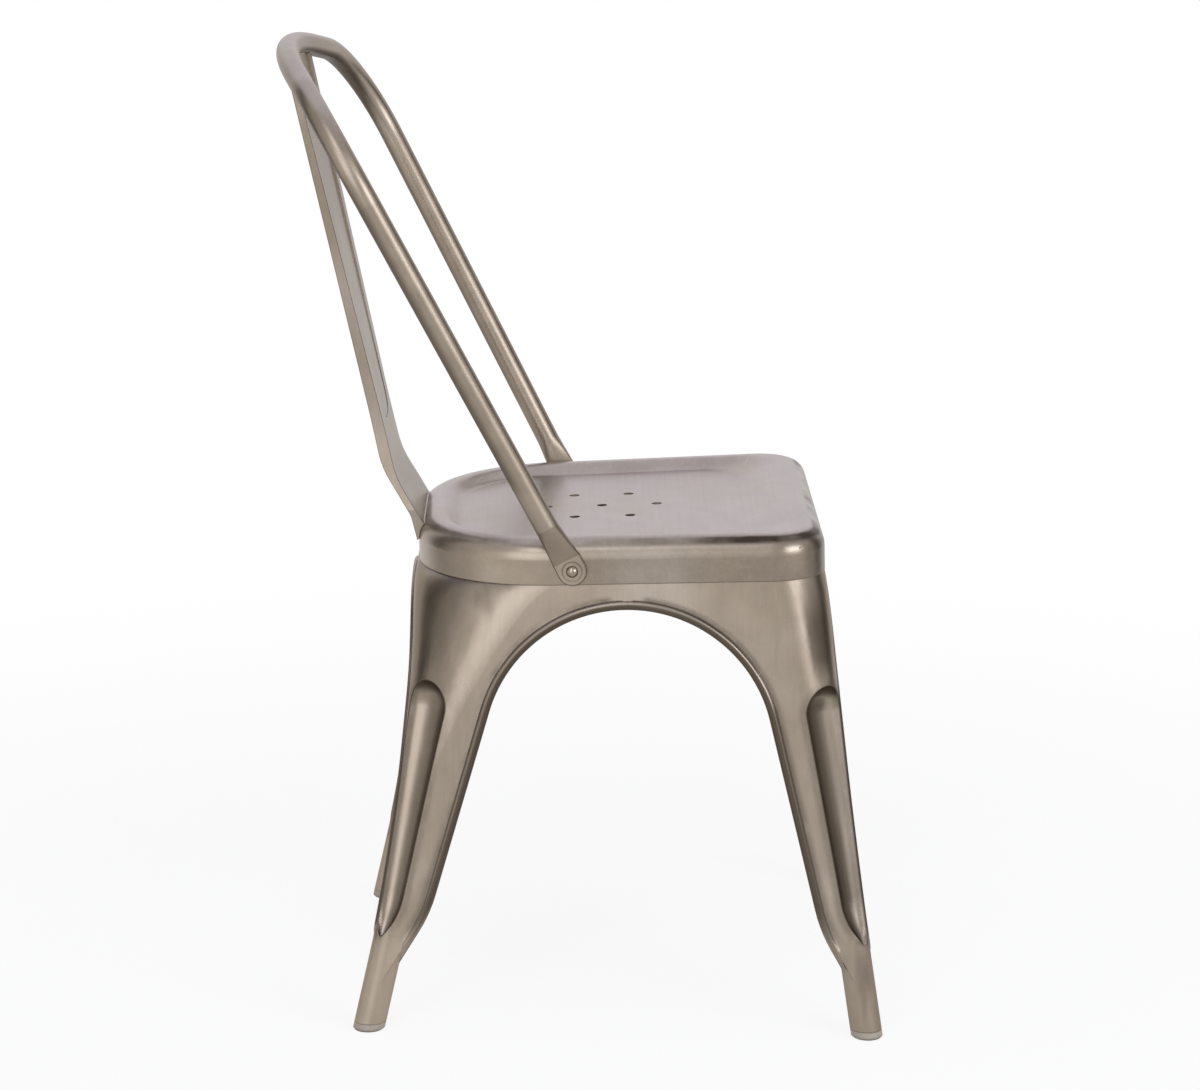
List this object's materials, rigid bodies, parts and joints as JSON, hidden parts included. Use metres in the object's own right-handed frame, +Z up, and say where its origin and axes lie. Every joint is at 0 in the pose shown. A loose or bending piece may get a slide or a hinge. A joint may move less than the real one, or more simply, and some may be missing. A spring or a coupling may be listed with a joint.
{
  "type": "industrial bistro chair",
  "caption": "Stacking bistro chair in pressed sheet steel: dished seat with skirt, flared grooved legs with rolled arches, bent tube hoop and fan-shaped back splat.",
  "frame": {"origin": "on the floor, under the middle of the whole chair's width and depth", "axes": "+Z up, -Y the way the sitter faces, +X to the sitter's left"},
  "size_m": [0.4692, 0.5253, 0.8491],
  "materials": {
    "seat_steel": "brushed, darkened and lacquered",
    "leg_steel": "brushed, darkened and lacquered",
    "hoop_steel": "brushed, darkened and lacquered",
    "splat_steel": "brushed, darkened and lacquered",
    "rivet_steel": "burnished",
    "brace_steel": "plain, lacquered",
    "glide": "matt, grey-beige"
  },
  "bodies": {
    "root": {"seat_pan": "seat_steel", "leg_front_right": "leg_steel", "leg_front_left": "leg_steel", "leg_rear_right": "leg_steel", "leg_rear_left": "leg_steel", "foot_glide_front_right": "glide", "foot_glide_front_left": "glide", "foot_glide_rear_right": "glide", "foot_glide_rear_left": "glide", "back_hoop": "hoop_steel", "back_splat": "splat_steel", "hoop_rivet_right": "rivet_steel", "hoop_rivet_left": "rivet_steel", "rivet_washer_right": "rivet_steel", "rivet_washer_left": "rivet_steel", "brace_bar_upper": "brace_steel", "brace_bar_lower": "brace_steel"}
  },
  "joints": []
}
